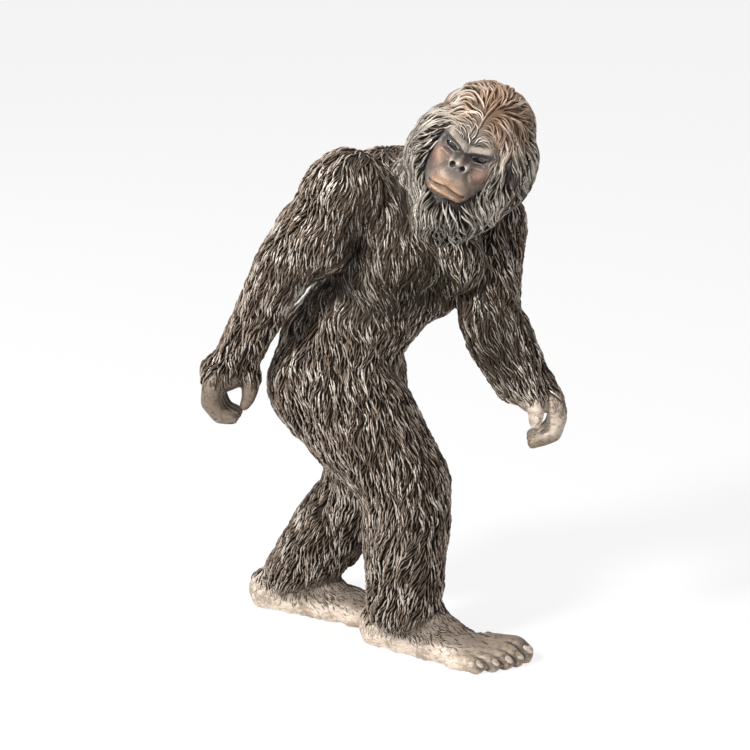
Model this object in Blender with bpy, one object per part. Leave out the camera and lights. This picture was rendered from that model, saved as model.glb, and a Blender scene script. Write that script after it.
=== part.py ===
"""A walking bigfoot garden statue, cast in one piece.

Metres, +Z up. The statue strides towards +X and a little towards -Y, with chest and face turned to -Y.
A skeleton is worked out from bone lengths and angles. Clay masses are laid on it, fused and smoothed,
carved with locks of fur, and cut flat under the soles.
"""

import math

import bmesh
import bpy
import numpy as np
from mathutils import Euler, Matrix, Vector, kdtree

# Bone lengths
SHIN_LENGTH = 0.153
THIGH_LENGTH = 0.162
HIP_SPAN = 0.076
TRUNK_LENGTH = 0.169
NECK_LENGTH = 0.080
RIGHT_COLLAR_LENGTH = 0.117
LEFT_COLLAR_LENGTH = 0.098
RIGHT_UPPER_ARM_LENGTH = 0.142
RIGHT_FOREARM_LENGTH = 0.094
LEFT_UPPER_ARM_LENGTH = 0.120
LEFT_FOREARM_LENGTH = 0.090
HEAD_REACH = 0.126

# Stance: where the right ankle stands, and how far the left one trails it
RIGHT_ANKLE = Vector((0.036, -0.090, 0.062))
LEFT_ANKLE_HEIGHT = 0.045
STRIDE = 0.193
STEP_WIDTH = 0.067

# Bone directions in degrees: turn from +X towards +Y, then lift above the level
WALK = (-29, 0)
RIGHT_FOOT_TURN = -30
LEFT_FOOT_TURN = -24
RIGHT_SHIN = (70, 85)
RIGHT_THIGH = (162, 46.5)
HIP_LINE = (53, 3)
SPINE = (-18, 61.5)
NECK = (14, 65)
RIGHT_COLLAR = (-156, 10)
LEFT_COLLAR = (27, -23)
RIGHT_UPPER_ARM = (-173, -52)
RIGHT_FOREARM = (166, -63)
LEFT_UPPER_ARM = (-96, -49)
LEFT_FOREARM = (-43, -53)
HEAD_LINE = (-62, 43)
CHEST_TURN = -60

# How the head is held, in degrees
HEAD_ROLL = 27
HEAD_TURN = -13
HEAD_NOD = 2

# Clay: voxel sizes of the rough and the finished figure, and the most triangles in the solid
ROUGH_VOXEL = 0.0040
FINE_VOXEL = 0.0022
MOST_TRIANGLES = 11800

# Paint
PAINT_COLOUR = (0.105, 0.078, 0.058, 1)
PAINT_ROUGHNESS = 0.5
PAINT_METALLIC = 0.3

# Locks of fur: length, half width, height
BODY_LOCK = (0.042, 0.0105, 0.0082)
MANE_LOCK = (0.066, 0.0090, 0.0084)
LOCK_SPACING = 0.0150

# Bare face, as a shield in the head's own frame: half width, half height, height of its middle
FACE_HALF_WIDTH = 0.041
FACE_HALF_HEIGHT = 0.048
FACE_MIDDLE = -0.021

# Bare hands: the middle of each from its wrist, and how far they reach around it
HAND_MIDDLE = {"right": (-0.012, 0, -0.045), "left": (0.016, 0, -0.045)}
HAND_REACH = (0.046, 0.055, 0.075)


def toward(direction):
    """The unit vector of a (turn, lift) pair of degrees."""
    turn, lift = (math.radians(angle) for angle in direction)
    level = math.cos(lift)
    return Vector((level * math.cos(turn), level * math.sin(turn), math.sin(lift)))


def bent_joint(upper, lower, upper_length, lower_length, bend):
    """The knee between two ends, bent towards the vector bend."""
    span = lower - upper
    reach = min(span.length, 0.999 * (upper_length + lower_length))
    along = (upper_length**2 - lower_length**2 + reach**2) / (2 * reach)
    out = math.sqrt(max(upper_length**2 - along**2, 0.0))
    line = span.normalized()
    side = (bend - line * bend.dot(line)).normalized()
    return upper + line * along * span.length / reach + side * out


def skeleton():
    """Every joint of the figure, by name."""
    walk = toward(WALK)
    left_of_walk = Vector((-walk.y, walk.x, 0))
    j = {"right_ankle": RIGHT_ANKLE.copy()}
    j["left_ankle"] = RIGHT_ANKLE - walk * STRIDE + left_of_walk * STEP_WIDTH
    j["left_ankle"].z = LEFT_ANKLE_HEIGHT
    j["right_knee"] = j["right_ankle"] + toward(RIGHT_SHIN) * SHIN_LENGTH
    j["right_hip"] = j["right_knee"] + toward(RIGHT_THIGH) * THIGH_LENGTH
    j["left_hip"] = j["right_hip"] + toward(HIP_LINE) * HIP_SPAN
    knee_line = toward((LEFT_FOOT_TURN, 0))
    j["left_knee"] = bent_joint(j["left_hip"], j["left_ankle"], THIGH_LENGTH, SHIN_LENGTH, knee_line)
    j["pelvis"] = (j["right_hip"] + j["left_hip"]) / 2
    j["chest"] = j["pelvis"] + toward(SPINE) * TRUNK_LENGTH
    j["neck"] = j["chest"] + toward(NECK) * NECK_LENGTH
    j["right_shoulder"] = j["neck"] + toward(RIGHT_COLLAR) * RIGHT_COLLAR_LENGTH
    j["left_shoulder"] = j["neck"] + toward(LEFT_COLLAR) * LEFT_COLLAR_LENGTH
    j["right_elbow"] = j["right_shoulder"] + toward(RIGHT_UPPER_ARM) * RIGHT_UPPER_ARM_LENGTH
    j["right_wrist"] = j["right_elbow"] + toward(RIGHT_FOREARM) * RIGHT_FOREARM_LENGTH
    j["left_elbow"] = j["left_shoulder"] + toward(LEFT_UPPER_ARM) * LEFT_UPPER_ARM_LENGTH
    j["left_wrist"] = j["left_elbow"] + toward(LEFT_FOREARM) * LEFT_FOREARM_LENGTH
    j["eyes"] = j["neck"] + toward(HEAD_LINE) * HEAD_REACH
    return j


def head_matrix(joints):
    """The head's own frame, between the eyes: +X to its left cheek, -Y out of the face, +Z to the crown."""
    turn = Euler((math.radians(HEAD_NOD), math.radians(HEAD_ROLL), 0)).to_matrix()
    turn = Euler((0, 0, math.radians(HEAD_TURN))).to_matrix() @ turn
    return Matrix.Translation(joints["eyes"]) @ turn.to_4x4()


def frame_along(axis, side):
    """A rotation whose Z runs along axis and whose X leans to side."""
    z = axis.normalized()
    x = (side - z * side.dot(z)).normalized()
    return Matrix((x, z.cross(x), z)).transposed().to_4x4()


def ball(clay, centre, radius):
    place = Matrix.Translation(centre)
    bmesh.ops.create_uvsphere(clay, u_segments=20, v_segments=12, radius=radius, matrix=place)


def lump(clay, centre, radii, axis=Vector((0, 0, 1)), side=Vector((1, 0, 0))):
    """An ellipsoid with its third radius along axis and its first towards side."""
    place = Matrix.Translation(centre) @ frame_along(axis, side) @ Matrix.Diagonal((*radii, 1))
    bmesh.ops.create_uvsphere(clay, u_segments=28, v_segments=18, radius=1, matrix=place)


def limb(clay, stations):
    """A chain of round stretches through (point, radius) stations, with round ends."""
    for (start, start_radius), (end, end_radius) in zip(stations, stations[1:]):
        place = Matrix.Translation((start + end) / 2) @ frame_along(end - start, Vector((0.3, -1, 0.2)))
        bmesh.ops.create_cone(
            clay,
            cap_ends=True,
            segments=20,
            radius1=start_radius,
            radius2=end_radius,
            depth=(end - start).length,
            matrix=place,
        )
    for point, radius in stations:
        ball(clay, point, radius)


def mix(a, b, share):
    return a + (b - a) * share


def trunk(clay, j):
    """Hips, belly, ribs, chest and the hump behind the neck."""
    pelvis, chest, neck = j["pelvis"], j["chest"], j["neck"]
    front = toward((CHEST_TURN, 0))
    spine = chest - pelvis
    lump(clay, pelvis + Vector((0.002, 0.003, 0.007)), (0.072, 0.068, 0.064))
    lump(clay, pelvis + Vector((-0.033, -0.015, -0.006)), (0.058, 0.060, 0.066))
    lump(clay, pelvis + Vector((-0.028, 0.046, 0.001)), (0.054, 0.052, 0.062))
    lump(clay, pelvis + Vector((0.005, -0.003, 0.050)), (0.080, 0.072, 0.058))
    lump(clay, pelvis + Vector((0.031, -0.009, 0.086)), (0.076, 0.074, 0.058))
    lump(clay, chest + Vector((-0.006, 0.004, -0.006)), (0.076, 0.092, 0.064), spine, front)
    lump(clay, neck + Vector((-0.024, -0.004, -0.026)), (0.074, 0.100, 0.060), spine, front)
    lump(clay, chest + Vector((-0.008, -0.044, 0.026)), (0.050, 0.040, 0.042))
    lump(clay, chest + Vector((0.002, -0.064, 0.014)), (0.045, 0.030, 0.034))
    lump(clay, chest + Vector((0.060, -0.036, 0.010)), (0.040, 0.036, 0.038))
    lump(clay, neck + Vector((-0.043, 0.032, 0.016)), (0.078, 0.054, 0.050))


def right_arm(clay, j):
    shoulder, elbow, wrist = j["right_shoulder"], j["right_elbow"], j["right_wrist"]
    outward = Vector((-0.004, 0, 0.003))
    lump(clay, shoulder + Vector((0.001, 0, 0.004)), (0.053, 0.054, 0.059), elbow - shoulder)
    lump(clay, mix(shoulder, elbow, 0.35) + Vector((0.005, 0, -0.004)), (0.046, 0.048, 0.062), elbow - shoulder)
    lump(clay, mix(shoulder, elbow, 0.44) + Vector((0.010, -0.014, -0.004)), (0.044, 0.040, 0.038))
    middle, low = mix(shoulder, elbow, 0.4) + outward, mix(shoulder, elbow, 0.75) + outward
    limb(clay, [(middle, 0.043), (low, 0.037), (elbow, 0.032)])
    limb(clay, [(elbow, 0.032), (mix(elbow, wrist, 0.5), 0.0285), (wrist, 0.0265)])


def left_arm(clay, j):
    shoulder, elbow, wrist = j["left_shoulder"], j["left_elbow"], j["left_wrist"]
    lump(clay, shoulder, (0.042, 0.047, 0.050), elbow - shoulder)
    limb(clay, [(shoulder, 0.040), (mix(shoulder, elbow, 0.55), 0.037), (elbow, 0.037)])
    limb(clay, [(elbow, 0.037), (mix(elbow, wrist, 0.35), 0.041), (wrist, 0.033)])


def right_leg(clay, j):
    hip, knee, ankle = j["right_hip"], j["right_knee"], j["right_ankle"]
    ahead = Vector((0.006, 0, 0))
    limb(clay, [(hip, 0.068), (mix(hip, knee, 0.45) + ahead, 0.070), (mix(hip, knee, 0.8), 0.059), (knee, 0.053)])
    limb(clay, [(knee, 0.053), (mix(knee, ankle, 0.4), 0.054), (mix(knee, ankle, 0.8), 0.048), (ankle, 0.047)])


def left_leg(clay, j):
    hip, knee, ankle = j["left_hip"], j["left_knee"], j["left_ankle"]
    inward = Vector((0.012, 0, 0))
    limb(clay, [(hip, 0.058), (mix(hip, knee, 0.5) + inward, 0.054), (knee + inward, 0.046)])
    limb(clay, [(knee + inward, 0.046), (mix(knee, ankle, 0.4) + inward * 0.6, 0.050), (ankle, 0.042)])


def foot(clay, ankle, turn, inner):
    """A long bare foot. inner is +1 where the big toe lies left of the foot's line, and -1 where it lies right."""
    ahead = toward((turn, 0))
    inward = Vector((-ahead.y, ahead.x, 0)) * inner
    ground = Vector((ankle.x, ankle.y, 0))

    def at(forward, sideways, height):
        return ground + ahead * forward + inward * sideways + Vector((0, 0, height))

    lump(clay, at(-0.030, 0.004, 0.020), (0.027, 0.032, 0.034), ahead, inward)
    lump(clay, at(0.010, 0.003, 0.022), (0.032, 0.036, 0.050), ahead, inward)
    lump(clay, at(0.060, 0.002, 0.012), (0.038, 0.026, 0.056), ahead, inward)
    lump(clay, at(0.096, 0.000, 0.006), (0.043, 0.020, 0.034), ahead, inward)
    limb(clay, [(at(0.010, 0.002, 0.046), 0.029), (at(0.060, 0.008, 0.024), 0.022), (at(0.100, 0.012, 0.010), 0.016)])
    toes = ((0.031, 0.166, 0.0145), (0.012, 0.163, 0.0105), (-0.004, 0.156, 0.0100), (-0.020, 0.146, 0.0096))
    for sideways, tip, radius in toes + ((-0.035, 0.132, 0.0094),):
        root = at(0.102, sideways * 0.85, radius)
        knuckle = at(tip - 0.024, sideways, radius + 0.0035)
        end = at(tip - radius, sideways, radius * 0.72)
        limb(clay, [(root, radius * 1.1), (knuckle, radius * 0.98), (end, radius)])


def finger(clay, start, steps, radii):
    """A finger from its knuckle, by the steps between its joints."""
    stations = [(start, radii[0])]
    for step, radius in zip(steps, radii[1:]):
        stations.append((stations[-1][0] + Vector(step), radius))
    limb(clay, stations)


def right_hand(clay, j):
    """The trailing hand: its fingers curl back to the thumb and leave a ring between them."""
    wrist = j["right_wrist"]
    lump(clay, wrist + Vector((-0.020, 0, -0.024)), (0.029, 0.023, 0.026))
    curl = ((-0.003, 0, -0.022), (0.011, 0, -0.019), (0.017, 0, -0.004))
    for n in range(4):
        start = wrist + Vector((-0.033 + 0.002 * n, 0.012 * (n - 1.5), -0.035))
        finger(clay, start, curl, (0.0135, 0.0125, 0.0100, 0.0072))
    thumb = ((0.004, -0.003, -0.022), (-0.003, -0.002, -0.018), (-0.007, -0.001, -0.013))
    finger(clay, wrist + Vector((0.011, -0.004, -0.014)), thumb, (0.0130, 0.0118, 0.0098, 0.0070))


def left_hand(clay, j):
    """The leading hand: the thumb hangs in front, and the fingers curl back below it."""
    wrist = j["left_wrist"]
    lump(clay, wrist + Vector((0.018, 0.003, -0.016)), (0.028, 0.024, 0.030))
    curl = ((0.006, 0, -0.022), (-0.006, 0, -0.021), (-0.026, -0.001, -0.011))
    for n in range(4):
        start = wrist + Vector((0.040, 0.0125 * (n - 1.2), -0.024))
        finger(clay, start, curl, (0.0120, 0.0115, 0.0100, 0.0078))
    thumb = ((0.002, -0.004, -0.016), (0.001, -0.003, -0.014), (-0.001, 0, -0.011))
    finger(clay, wrist + Vector((0.015, -0.017, -0.008)), thumb, (0.0135, 0.0120, 0.0105, 0.0088))


def head(clay, j):
    """Crested skull, mane and beard, laid out in the head's own frame."""
    place = head_matrix(j)
    turn = place.to_3x3()
    crown, right = turn @ Vector((0, 0, 1)), turn @ Vector((1, 0, 0))

    def mass(across, out, up, radii):
        lump(clay, place @ Vector((across, -out, up)), radii, crown, right)

    mass(0.004, -0.064, 0.012, (0.060, 0.056, 0.061))
    mass(0.004, -0.057, 0.037, (0.043, 0.048, 0.036))
    mass(0, -0.046, 0.036, (0.043, 0.036, 0.030))
    mass(0.052, -0.048, -0.018, (0.032, 0.043, 0.054))
    mass(-0.045, -0.042, -0.026, (0.026, 0.040, 0.050))
    mass(0, -0.068, -0.030, (0.058, 0.045, 0.052))
    mass(0, -0.034, -0.052, (0.046, 0.038, 0.030))
    beard = j["eyes"] + Vector((-0.016, 0.020, -0.078))
    lump(clay, beard, (0.046, 0.031, 0.036))
    lump(clay, beard + Vector((0.026, 0.014, 0.010)), (0.036, 0.034, 0.040))
    limb(clay, [(j["neck"], 0.062), (place @ Vector((0, 0.070, -0.015)), 0.052)])


def hill(s, u, at_s, at_u, wide, tall):
    return np.exp(-(((s - at_s) / wide) ** 2) - ((u - at_u) / tall) ** 2)


def ridge(s, u, start, end, wide):
    """A soft ridge of height one along a straight line."""
    along = np.array(end, float) - np.array(start, float)
    share = ((s - start[0]) * along[0] + (u - start[1]) * along[1]) / along.dot(along)
    share = np.clip(share, 0, 1)
    gap = np.hypot(s - start[0] - share * along[0], u - start[1] - share * along[1])
    return np.exp(-((gap / wide) ** 2))


def face_depth(s, u):
    """How far the face stands out in front of the eyes, all in millimetres: s across, u up."""
    depth = -(s**2) / 150 - 0.33 * np.maximum(u - 9, 0)
    depth = depth + 21 * np.exp(-((s / 30) ** 4) - ((u + 42) / 24) ** 4)
    depth = depth + 8 * ridge(s, u, (0, 2), (0, -11), 4.5) + 9 * hill(s, u, 0, -14, 7, 6)
    depth = depth + 3 * hill(s, u, 0, 8, 7, 6) + 2.5 * hill(s, u, 0, -38, 18, 7)
    depth = depth + 3.5 * ridge(s, u, (-16, -54), (16, -54), 3.2) - 3 * ridge(s, u, (-15, -61), (15, -61), 2.6)
    depth = depth - 5 * ridge(np.abs(s), u, (0, -46), (22.5, -51), 1.9)
    for side in (-1, 1):
        t = s * side
        depth = depth + 9 * ridge(t, u, (5, 4), (27, 12), 5)
        depth = depth - 10 * hill(t, u, 19, -4, 11, 7) + 6 * hill(t, u, 19, -4, 6.2, 4.4)
        depth = depth + 2.4 * ridge(t, u, (10, -3), (27, 1), 1.7) + 1.8 * ridge(t, u, (12, -9), (27, -8), 1.7)
        depth = depth + 2 * ridge(t, u, (13, -14), (27, -12), 2.6) + 4.5 * hill(t, u, 31, -18, 9, 11)
        depth = depth + 7 * hill(t, u, 9.5, -15, 4.6, 5) - 9 * hill(t, u, 6.9, -18, 2.8, 2.8)
        depth = depth - 2.5 * ridge(t, u, (14, -21), (28, -43), 2.2)
        depth = depth - 1.6 * ridge(t, u, (2.4, 3), (4.5, 16), 1.3)
    return depth


def shield(s, u):
    """How far out a point of the face lies: 0 at its middle, 1 on the rim of the bare skin."""
    return np.hypot(s / FACE_HALF_WIDTH, (u - FACE_MIDDLE) / FACE_HALF_HEIGHT)


def face(clay, j):
    """The bare face as a closed slab, its front carved by face_depth and its rim sunk into the hair."""
    place = head_matrix(j)
    step = 0.0016
    across = np.arange(-0.050, 0.0501, step)
    up = np.arange(-0.074, 0.0361, step)
    front, back = [], []
    for u in up:
        for s in across:
            rim = np.clip((shield(s, u) - 0.92) / 0.30, 0, 1)
            out = face_depth(s * 1000, u * 1000) / 1000 - 0.032 * rim * rim
            front.append(clay.verts.new(place @ Vector((s, -max(out, -0.044), u))))
            back.append(clay.verts.new(place @ Vector((s, 0.050, u))))
    wide, tall = len(across), len(up)
    for row in range(tall - 1):
        for col in range(wide - 1):
            a = row * wide + col
            corners = (a, a + 1, a + wide + 1, a + wide)
            clay.faces.new([front[n] for n in corners])
            clay.faces.new([back[n] for n in reversed(corners)])
    for row in range(tall - 1):
        for a, b in ((row * wide, (row + 1) * wide), ((row + 2) * wide - 1, (row + 1) * wide - 1)):
            clay.faces.new((front[a], front[b], back[b], back[a]))
    for col in range(wide - 1):
        low, high = col, (tall - 1) * wide + col
        clay.faces.new((front[low + 1], front[low], back[low], back[low + 1]))
        clay.faces.new((front[high], front[high + 1], back[high + 1], back[high]))


def flow_lines(j):
    """The lie of the fur: (start, end, reach, direction) for each part of the body."""
    down = Vector((0, 0, -1))
    shin_sweep = Vector((-0.55, 0.1, -1))
    lines = []
    for side in ("right", "left"):
        shoulder, elbow, wrist = j[side + "_shoulder"], j[side + "_elbow"], j[side + "_wrist"]
        hip, knee, ankle = j[side + "_hip"], j[side + "_knee"], j[side + "_ankle"]
        lines.append((shoulder, elbow, 0.040, (elbow - shoulder).normalized() + down * 0.3))
        lines.append((elbow, wrist, 0.032, (wrist - elbow).normalized() + down * 0.2))
        lines.append((wrist, wrist + down * 0.06, 0.025, down))
        lines.append((mix(hip, knee, 0.3), knee, 0.050, (knee - hip).normalized() + Vector((-0.5, 0, -0.8))))
        lines.append((knee, ankle, 0.040, shin_sweep))
    lines.append((j["pelvis"], j["chest"], 0.070, Vector((-0.15, 0, -1))))
    lines.append((j["chest"], j["neck"], 0.070, Vector((0.10, 0, -1))))
    return lines


def fur_flow(points, j):
    """The direction in which the fur lies at each point of the body."""
    total = np.zeros_like(points)
    for start, end, reach, direction in flow_lines(j):
        a, b = np.array(start), np.array(end)
        share = np.clip((points - a) @ (b - a) / (b - a).dot(b - a), 0, 1)
        gap = np.linalg.norm(points - a - share[:, None] * (b - a), axis=1) / reach
        total += np.array(direction.normalized()) / (0.05 + gap[:, None] ** 4)
    return total


def head_local(points, j):
    inverse = np.array(head_matrix(j).inverted())
    return points @ inverse[:3, :3].T + inverse[:3, 3]


def mane_flow(points, j):
    """Head hair parts along the crown, sweeps back and out, and hangs; the beard falls straight."""
    turn = np.array(head_matrix(j).to_3x3())
    local = head_local(points, j)
    out = np.tanh(local[:, 0] / 0.012)
    high = np.clip(local[:, 2] / 0.070, 0, 1)
    sweep = np.stack([out * (0.35 + 0.65 * high), 0.15 + 0.55 * high, -0.25 - 0.75 * (1 - high)], axis=1) @ turn.T
    low = np.clip((-0.030 - local[:, 2]) / 0.050, 0, 1)[:, None]
    return sweep * (1 - low) + np.array((0, 0.05, -1.0)) * low


def on_head(points, j):
    """1 on the head's hair and beard, 0 on the body."""
    local = head_local(points, j)
    middle = np.array((0.0, 0.045, -0.015))
    gap = np.linalg.norm((local - middle) / np.array((0.088, 0.085, 0.112)), axis=1)
    beard = np.linalg.norm((points - np.array(j["eyes"] + Vector((-0.010, 0.020, -0.080)))) / 0.062, axis=1)
    return np.minimum(gap, beard) < 1


def bareness(points, j):
    """1 on bare skin (face, feet, hands), 0 where fur grows."""
    local = head_local(points, j)
    rim = shield(local[:, 0], local[:, 2])
    bare = np.clip((1.12 - rim) / 0.15, 0, 1) * (local[:, 1] < 0.030)
    for side in ("right", "left"):
        ankle = np.array(j[side + "_ankle"])
        gap = np.linalg.norm((points - ankle)[:, :2], axis=1)
        foot_skin = np.clip((0.062 + (gap < 0.050) * -0.038 - points[:, 2]) / 0.012, 0, 1)
        wrist = np.array(j[side + "_wrist"])
        hand_skin = np.clip((wrist[2] - 0.020 - points[:, 2]) / 0.020, 0, 1)
        hand_skin *= np.linalg.norm((points - wrist - HAND_MIDDLE[side]) / HAND_REACH, axis=1) < 1
        bare = np.maximum(bare, np.maximum(foot_skin, hand_skin))
    return bare


def scattered(points, spacing, seed):
    """Indices of points at least spacing apart, taken in a fixed random order."""
    order = np.random.default_rng(seed).permutation(len(points))
    cells, chosen = {}, []
    for n in order:
        p = points[n]
        cell = tuple(np.floor(p / spacing).astype(int))
        near = False
        for dx in (-1, 0, 1):
            for dy in (-1, 0, 1):
                for dz in (-1, 0, 1):
                    for other in cells.get((cell[0] + dx, cell[1] + dy, cell[2] + dz), ()):
                        if np.dot(p - other, p - other) < spacing * spacing:
                            near = True
        if not near:
            cells.setdefault(cell, []).append(p)
            chosen.append(n)
    return np.array(chosen)


def carve_fur(obj, j):
    """Overlapping locks, raised along the lie of the fur."""
    mesh = obj.data
    count = len(mesh.vertices)
    points = np.empty(count * 3)
    mesh.vertices.foreach_get("co", points)
    points = points.reshape(-1, 3)
    normals = np.empty(count * 3)
    mesh.vertices.foreach_get("normal", normals)
    normals = normals.reshape(-1, 3)
    hairy = on_head(points, j)
    flow = np.where(hairy[:, None], mane_flow(points, j), fur_flow(points, j))
    flow -= normals * np.sum(flow * normals, axis=1)[:, None]
    flow /= np.linalg.norm(flow, axis=1)[:, None] + 1e-9
    seeds = scattered(points, LOCK_SPACING, 7)
    tree = kdtree.KDTree(len(seeds))
    for n, seed in enumerate(seeds):
        tree.insert(points[seed], n)
    tree.balance()
    near = 14
    found = np.array([[hit[1] for hit in tree.find_n(p, near)] for p in points])
    roots = seeds[found]
    offset = points[:, None, :] - points[roots]
    lie = flow[roots]
    along = np.sum(offset * lie, axis=2)
    across = np.linalg.norm(offset - lie * along[:, :, None], axis=2)
    length, half, tall = (np.where(hairy[roots], m, b) for m, b in zip(MANE_LOCK, BODY_LOCK))
    share = along / length + 0.45
    width = half * (1 - np.clip(share, 0, 1) ** 3) + 1e-6
    height = tall * (0.25 + 0.75 * np.clip(share, 0, 1)) * np.clip(1 - (across / width) ** 2, 0, 1)
    height *= (share > 0) & (share < 1)
    lift = height.max(axis=1) - BODY_LOCK[2] * 0.45
    lift *= 1 - bareness(points, j)
    points += normals * lift[:, None]
    mesh.vertices.foreach_set("co", points.ravel())
    mesh.update()


def mesh_object(name, clay):
    mesh = bpy.data.meshes.new(name)
    clay.to_mesh(mesh)
    clay.free()
    obj = bpy.data.objects.new(name, mesh)
    bpy.context.scene.collection.objects.link(obj)
    return obj


def modelled(name, clay, voxel, smoothing):
    """The clay fused into one skin of even faces and smoothed."""
    obj = mesh_object(name, clay)
    fuse = obj.modifiers.new("fuse", "REMESH")
    fuse.mode = "VOXEL"
    fuse.voxel_size = voxel
    smooth = obj.modifiers.new("smooth", "SMOOTH")
    smooth.factor = 0.5
    smooth.iterations = smoothing
    return baked(obj)


def baked(obj):
    """The object with its modifiers made permanent."""
    graph = bpy.context.evaluated_depsgraph_get()
    mesh = bpy.data.meshes.new_from_object(obj.evaluated_get(graph))
    obj.modifiers.clear()
    old = obj.data
    obj.data = mesh
    bpy.data.meshes.remove(old)
    return obj


def thinned(obj, j):
    """Fewer faces, spared where skin is bare: on the face, the hands and the feet."""
    count = len(obj.data.vertices)
    points = np.empty(count * 3)
    obj.data.vertices.foreach_get("co", points)
    points = points.reshape(-1, 3)
    bare, hairy = bareness(points, j), on_head(points, j)
    spare = 1 - 0.08 * bare - 0.08 * hairy - 0.13 * bare * hairy
    group = obj.vertex_groups.new(name="thin")
    for level in np.unique(spare.round(2)):
        group.add(np.flatnonzero(spare.round(2) == level).tolist(), float(level), "REPLACE")
    faces = sum(len(face.vertices) - 2 for face in obj.data.polygons)
    thin = obj.modifiers.new("thin", "DECIMATE")
    thin.ratio = MOST_TRIANGLES / faces
    thin.vertex_group = "thin"
    thin.vertex_group_factor = 1.0
    thin.use_collapse_triangulate = True
    baked(obj)
    obj.vertex_groups.clear()
    return obj


def cut_flat(obj, height):
    """Everything below the height is cut away, and the soles are closed."""
    mesh = bmesh.new()
    mesh.from_mesh(obj.data)
    parts = mesh.verts[:] + mesh.edges[:] + mesh.faces[:]
    cut = bmesh.ops.bisect_plane(
        mesh, geom=parts, plane_co=(0, 0, height), plane_no=(0, 0, -1), clear_outer=True
    )
    rim = [part for part in cut["geom_cut"] if isinstance(part, bmesh.types.BMEdge)]
    closed = bmesh.ops.holes_fill(mesh, edges=rim, sides=0)
    bmesh.ops.triangulate(mesh, faces=closed["faces"])
    mesh.to_mesh(obj.data)
    mesh.free()


def centre_on_floor(obj):
    """The soles at z = 0 and the outline's middle over the origin."""
    corners = [Vector(corner) for corner in obj.bound_box]
    low = Vector([min(c[n] for c in corners) for n in range(3)])
    high = Vector([max(c[n] for c in corners) for n in range(3)])
    shift = Vector((-(low.x + high.x) / 2, -(low.y + high.y) / 2, -low.z))
    obj.data.transform(Matrix.Translation(shift))
    return shift


def painted_resin():
    """Cast resin under a dark bronze-like paint."""
    material = bpy.data.materials.new("painted_resin")
    material.use_nodes = True
    shader = material.node_tree.nodes["Principled BSDF"]
    shader.inputs["Base Color"].default_value = PAINT_COLOUR
    shader.inputs["Roughness"].default_value = PAINT_ROUGHNESS
    shader.inputs["Metallic"].default_value = PAINT_METALLIC
    return material


def main():
    for obj in list(bpy.data.objects):
        bpy.data.objects.remove(obj)
    joints = skeleton()
    body = bmesh.new()
    for shape in (trunk, right_arm, left_arm, right_leg, left_leg, head):
        shape(body, joints)
    rough = modelled("body", body, ROUGH_VOXEL, 8)
    clay = bmesh.new()
    foot(clay, joints["right_ankle"], RIGHT_FOOT_TURN, 1)
    foot(clay, joints["left_ankle"], LEFT_FOOT_TURN, -1)
    for shape in (right_hand, left_hand, face):
        shape(clay, joints)
    clay.from_mesh(rough.data)
    bpy.data.objects.remove(rough)
    statue = modelled("bigfoot_statue", clay, FINE_VOXEL, 2)
    carve_fur(statue, joints)
    thinned(statue, joints)
    cut_flat(statue, 0.0)
    statue.data.materials.append(painted_resin())
    statue.data.shade_smooth()
    bpy.context.view_layer.update()
    return centre_on_floor(statue)


moved = main()
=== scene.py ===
"""The walking bigfoot garden statue, dressed: locks of fur, a carved face, nails and aged bronze paint."""

import math

import bmesh
import bpy
import numpy as np
from mathutils import Euler, Matrix, Vector


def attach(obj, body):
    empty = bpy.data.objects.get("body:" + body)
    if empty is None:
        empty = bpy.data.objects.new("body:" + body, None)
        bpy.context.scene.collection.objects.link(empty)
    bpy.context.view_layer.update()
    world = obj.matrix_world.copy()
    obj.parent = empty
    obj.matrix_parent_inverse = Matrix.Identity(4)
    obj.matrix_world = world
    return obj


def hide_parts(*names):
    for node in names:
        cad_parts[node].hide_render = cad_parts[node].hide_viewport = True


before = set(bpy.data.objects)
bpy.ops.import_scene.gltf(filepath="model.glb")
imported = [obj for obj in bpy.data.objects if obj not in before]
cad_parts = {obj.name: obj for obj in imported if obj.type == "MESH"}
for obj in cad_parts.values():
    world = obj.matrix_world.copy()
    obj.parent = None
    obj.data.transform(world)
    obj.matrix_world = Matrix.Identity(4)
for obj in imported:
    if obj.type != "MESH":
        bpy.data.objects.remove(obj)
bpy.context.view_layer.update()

# Joints of the figure, in metres
JOINT = {
    "right_ankle": (0.0258, -0.0467, 0.0620),
    "left_ankle": (-0.1105, 0.1055, 0.0450),
    "right_knee": (0.0304, -0.0342, 0.2144),
    "left_knee": (-0.0373, 0.0690, 0.1743),
    "right_hip": (-0.0757, 0.0003, 0.3319),
    "left_hip": (-0.0300, 0.0609, 0.3359),
    "pelvis": (-0.0529, 0.0306, 0.3339),
    "chest": (0.0238, 0.0057, 0.4824),
    "neck": (0.0566, 0.0139, 0.5549),
    "right_shoulder": (-0.0486, -0.0330, 0.5753),
    "left_shoulder": (0.1370, 0.0548, 0.5167),
    "right_elbow": (-0.1354, -0.0437, 0.4634),
    "left_elbow": (0.1288, -0.0235, 0.4261),
    "right_wrist": (-0.1768, -0.0333, 0.3796),
    "left_wrist": (0.1684, -0.0604, 0.3542),
    "eyes": (0.0999, -0.0675, 0.6409),
}
JOINT = {name: np.array(place) for name, place in JOINT.items()}

SIDES = ("right", "left")

# Turn of each foot and how the head is held, in degrees
FOOT_TURN = {"right": -30, "left": -24}
HEAD_ROLL = 27
HEAD_TURN = -13
HEAD_NOD = 2

# Bare face, as a shield in the head's own frame. Its brow line is a shallow V.
FACE_HALF_WIDTH = 0.041
FACE_HALF_HEIGHT = 0.048
FACE_MIDDLE = -0.021
BROW_TOP = 0.0085
BROW_SLOPE = 0.30
FACE_BACK = 0.030

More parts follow.
